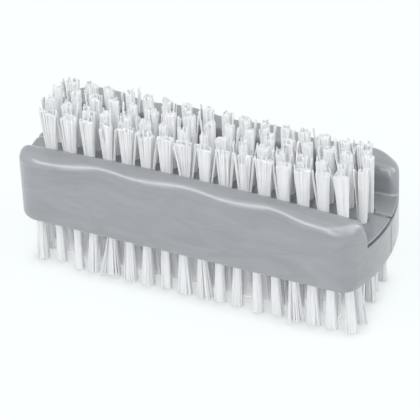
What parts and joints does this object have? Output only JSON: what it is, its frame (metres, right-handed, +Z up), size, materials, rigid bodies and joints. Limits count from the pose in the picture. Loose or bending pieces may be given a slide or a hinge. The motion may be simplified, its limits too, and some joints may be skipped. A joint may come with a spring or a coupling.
{
  "type": "double-sided nail brush",
  "caption": "Hand brush for nails: an oblong moulded handle with wavy grip rails and stiff nylon tufts on its upper and lower sides.",
  "frame": {"origin": "centre of the lower bristle tips, on the surface that the brush stands on", "axes": "+X along the brush's length, +Y across it, +Z up through the channel between the grip rails"},
  "size_m": [0.09, 0.034, 0.0416],
  "materials": {
    "handle": "pearl silver-grey, satin to glossy, moulded",
    "bristles": "translucent white nylon strands"
  },
  "bodies": {
    "root": {"handle": "handle", "upper_bristle_row_1": "bristles", "upper_bristle_row_2": "bristles", "upper_bristle_row_3": "bristles", "upper_bristle_row_4": "bristles", "lower_bristle_row_1": "bristles", "lower_bristle_row_2": "bristles", "lower_bristle_row_3": "bristles", "lower_bristle_row_4": "bristles", "lower_bristle_row_5": "bristles", "lower_bristle_row_6": "bristles"}
  },
  "joints": []
}
